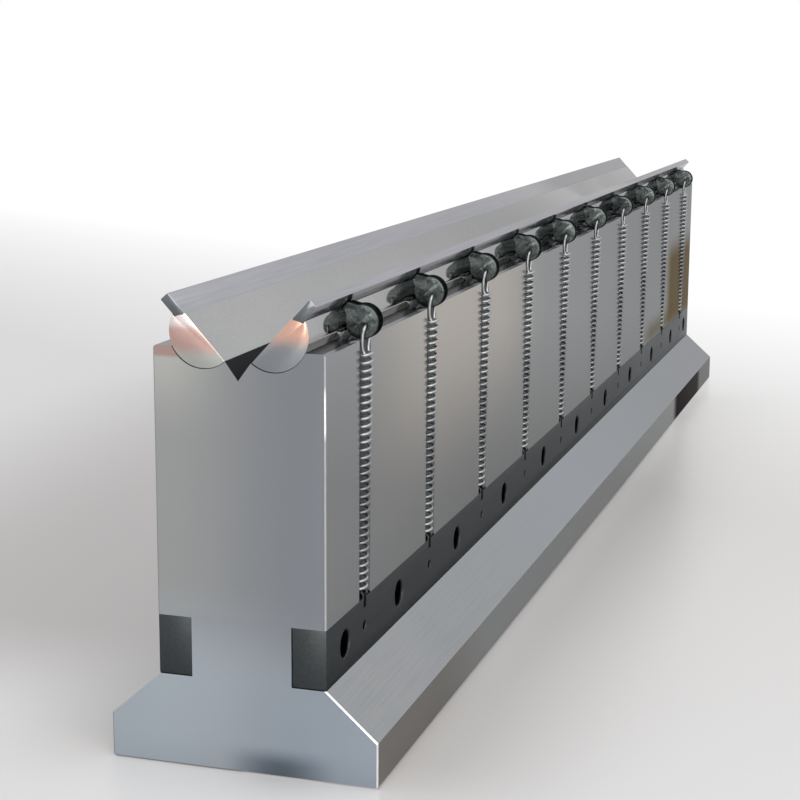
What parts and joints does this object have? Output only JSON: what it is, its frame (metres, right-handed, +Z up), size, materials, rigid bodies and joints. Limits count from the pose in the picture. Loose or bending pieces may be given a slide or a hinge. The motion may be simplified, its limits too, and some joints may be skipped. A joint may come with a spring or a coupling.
{
  "type": "press brake v die",
  "caption": "Press brake roller V die: two sprung half-round rollers turn in a tall steel body on a wide foot to form a V under load.",
  "frame": {"origin": "centre of the foot's flat bottom face", "axes": "+X across the die, +Y along its length, +Z up"},
  "size_m": [0.06, 0.5, 0.1012],
  "materials": {
    "ground_steel": "ground and hardened, near mirror",
    "polished_roller_steel": "ground and polished",
    "wing_steel": "dark ground steel",
    "dark_lever_steel": "blackened, satin",
    "spring_wire": "bright drawn wire",
    "pin_steel": "ground",
    "blackened_strip": "black oxide, satin",
    "black_oxide_screws": "black oxide"
  },
  "bodies": {
    "die": {"die_body": "ground_steel", "anchor_strip_left": "blackened_strip", "strip_screws_left": "black_oxide_screws", "anchor_pins_left": "pin_steel", "anchor_strip_right": "blackened_strip", "strip_screws_right": "black_oxide_screws", "anchor_pins_right": "pin_steel", "spring_left_01": "spring_wire", "spring_left_02": "spring_wire", "spring_left_03": "spring_wire", "spring_left_04": "spring_wire", "spring_left_05": "spring_wire", "spring_left_06": "spring_wire", "spring_left_07": "spring_wire", "spring_left_08": "spring_wire", "spring_left_09": "spring_wire", "spring_left_10": "spring_wire", "spring_right_01": "spring_wire", "spring_right_02": "spring_wire", "spring_right_03": "spring_wire", "spring_right_04": "spring_wire", "spring_right_05": "spring_wire", "spring_right_06": "spring_wire", "spring_right_07": "spring_wire", "spring_right_08": "spring_wire", "spring_right_09": "spring_wire", "spring_right_10": "spring_wire"},
    "roller_left_group": {"roller_left": "polished_roller_steel", "wing_left": "wing_steel", "hook_pins_left": "pin_steel", "lever_left_01": "dark_lever_steel", "lever_left_02": "dark_lever_steel", "lever_left_03": "dark_lever_steel", "lever_left_04": "dark_lever_steel", "lever_left_05": "dark_lever_steel", "lever_left_06": "dark_lever_steel", "lever_left_07": "dark_lever_steel", "lever_left_08": "dark_lever_steel", "lever_left_09": "dark_lever_steel", "lever_left_10": "dark_lever_steel"},
    "roller_right_group": {"roller_right": "polished_roller_steel", "wing_right": "wing_steel", "hook_pins_right": "pin_steel", "lever_right_01": "dark_lever_steel", "lever_right_02": "dark_lever_steel", "lever_right_03": "dark_lever_steel", "lever_right_04": "dark_lever_steel", "lever_right_05": "dark_lever_steel", "lever_right_06": "dark_lever_steel", "lever_right_07": "dark_lever_steel", "lever_right_08": "dark_lever_steel", "lever_right_09": "dark_lever_steel", "lever_right_10": "dark_lever_steel"}
  },
  "joints": [
    {"name": "roller_left_turn", "type": "hinge", "parent": "die", "child": "roller_left_group", "pos_m": [-0.00765, 0, 0.09355], "axis": [0, -1, 0], "range_deg": [0, 47.5], "stiffness_Nm_per_rad": 2.8, "springref_deg": 67.61, "deforming": ["spring_left_01", "spring_left_02", "spring_left_03", "spring_left_04", "spring_left_05", "spring_left_06", "spring_left_07", "spring_left_08", "spring_left_09", "spring_left_10"]},
    {"name": "roller_right_turn", "type": "hinge", "parent": "die", "child": "roller_right_group", "pos_m": [0.00765, 0, 0.09355], "axis": [0, 1, 0], "range_deg": [0, 47.5], "stiffness_Nm_per_rad": 2.8, "springref_deg": 67.61, "deforming": ["spring_right_01", "spring_right_02", "spring_right_03", "spring_right_04", "spring_right_05", "spring_right_06", "spring_right_07", "spring_right_08", "spring_right_09", "spring_right_10"]}
  ]
}
